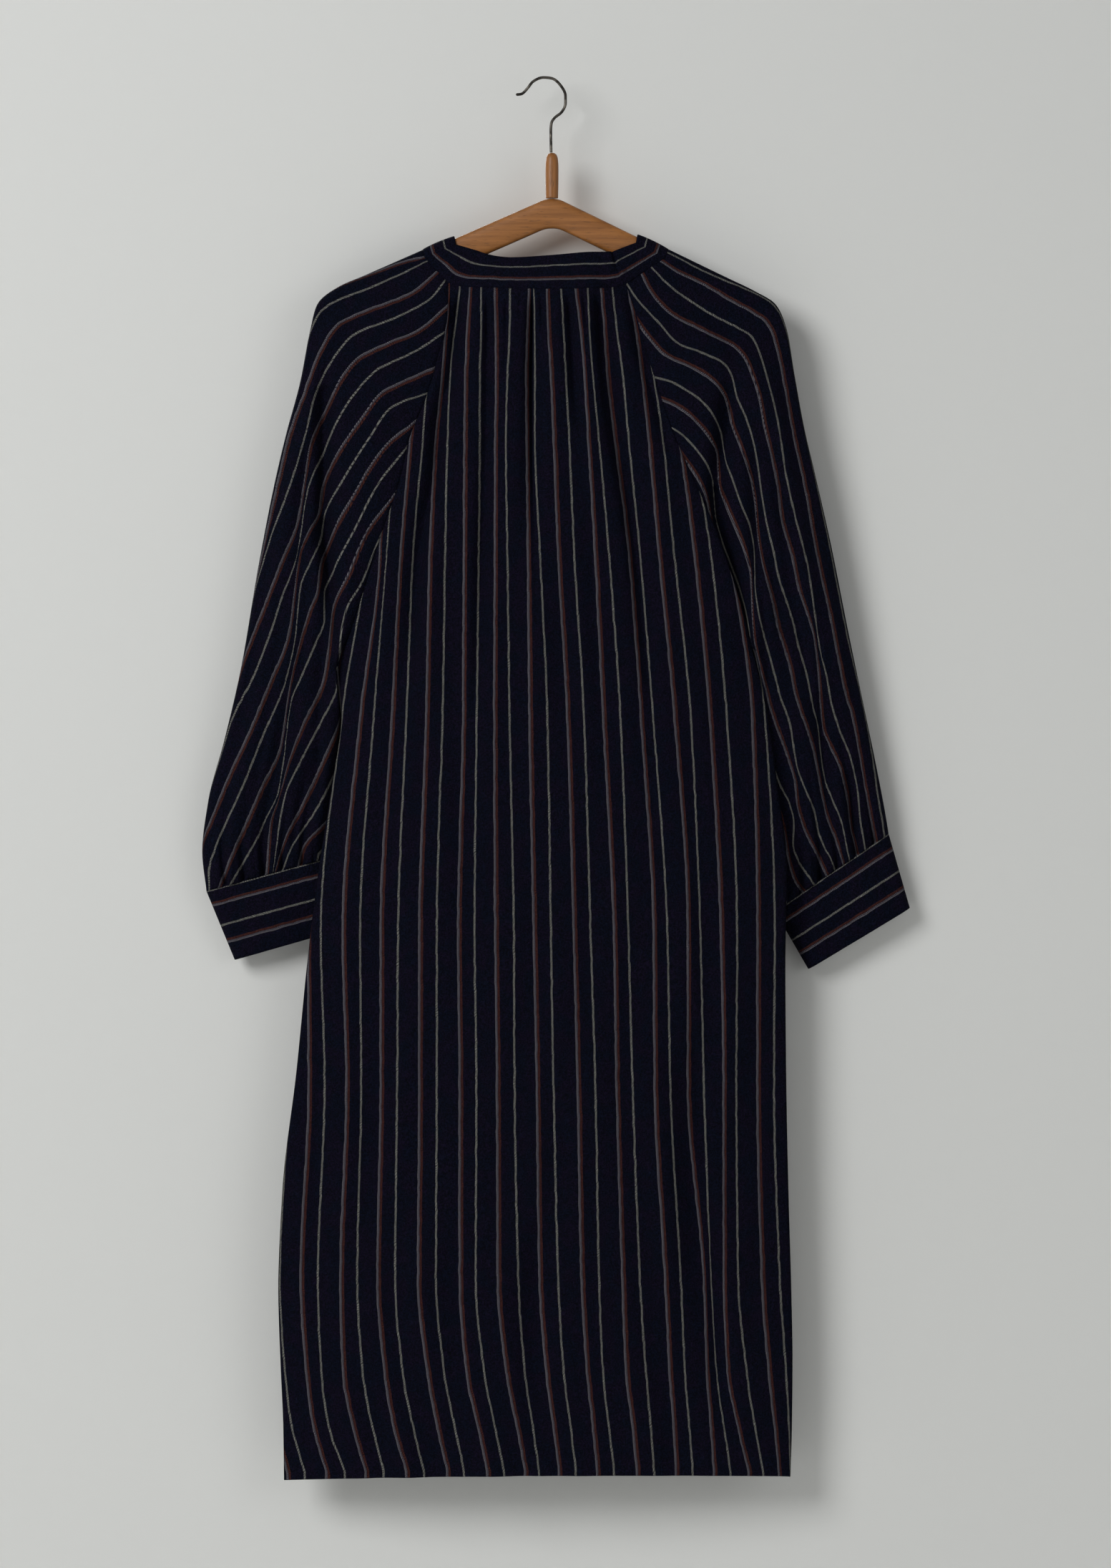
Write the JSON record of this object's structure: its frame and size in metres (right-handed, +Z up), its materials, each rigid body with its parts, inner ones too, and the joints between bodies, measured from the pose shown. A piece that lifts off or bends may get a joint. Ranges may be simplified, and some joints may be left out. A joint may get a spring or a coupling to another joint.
{
  "type": "tunic dress on a wooden hanger",
  "caption": "Striped woven tunic dress with raglan sleeves, a gathered neck in a narrow band and deep cuffs, hung on a wooden hanger with a wire hook.",
  "frame": {"origin": "inside of the top bend of the hanger's hook, where it rests on a nail or rail", "axes": "+Z up, +X to the viewer's right when looking at the garment's back, -Y out of the garment's back"},
  "size_m": [0.6468, 0.0703, 1.2774],
  "materials": {
    "striped_cloth": "matte woven cotton, dark indigo with rust, grey and white stripes",
    "hanger_wood": "oiled, fine grain",
    "hook_wire": "darkened wire"
  },
  "bodies": {
    "root": {"back_body": "striped_cloth", "front_body": "striped_cloth", "sleeve_left": "striped_cloth", "sleeve_right": "striped_cloth", "cuff_left": "striped_cloth", "cuff_right": "striped_cloth", "neckband": "striped_cloth", "hanger_bar": "hanger_wood", "hanger_stem": "hanger_wood", "hanger_hook": "hook_wire"}
  },
  "joints": []
}
